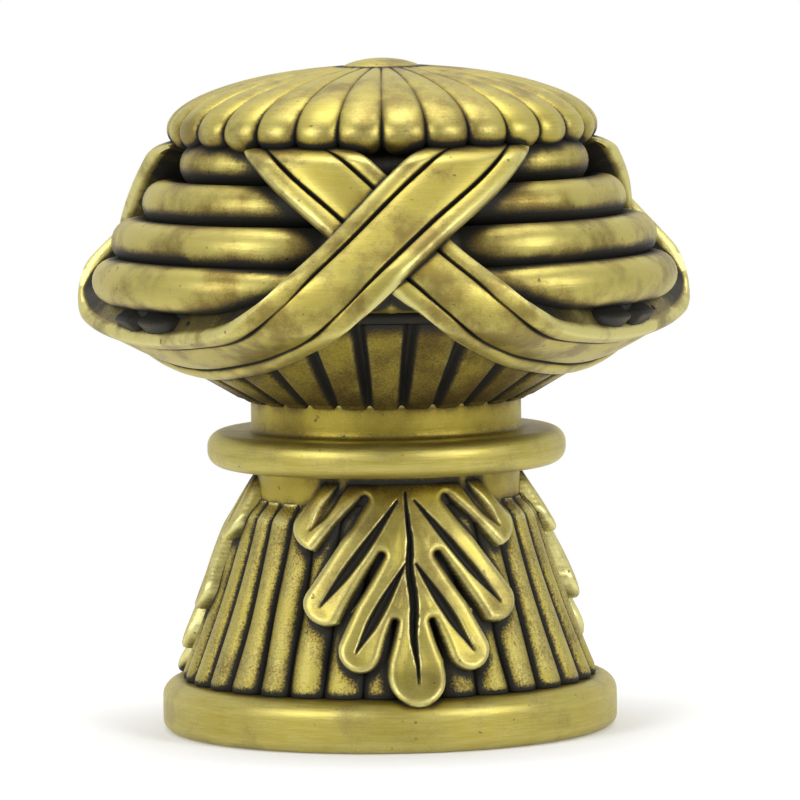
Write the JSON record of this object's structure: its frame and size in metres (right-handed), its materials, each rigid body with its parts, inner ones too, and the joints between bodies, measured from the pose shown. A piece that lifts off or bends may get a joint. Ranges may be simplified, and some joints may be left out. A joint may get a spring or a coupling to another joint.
{
  "type": "curtain pole finial",
  "caption": "Antique brass curtain pole finial: reeded bell with acanthus leaves, collar and a ribboned, ribbed head under a lobed cap; a socket in the foot slips over the pole.",
  "frame": {"origin": "centre of the foot's underside, where the finial meets the pole end", "axes": "+Z away from the pole along its axis, out through the cap's button; -Y the side that the picture shows"},
  "size_m": [0.0677, 0.0674, 0.0736],
  "materials": {
    "antique_brass": "satin antique brass, near-black patina in the recesses, worn bright on the high points",
    "dark_steel": "blackened steel, satin"
  },
  "bodies": {
    "root": {"finial": "antique_brass", "grub_screw": "dark_steel"}
  },
  "joints": []
}
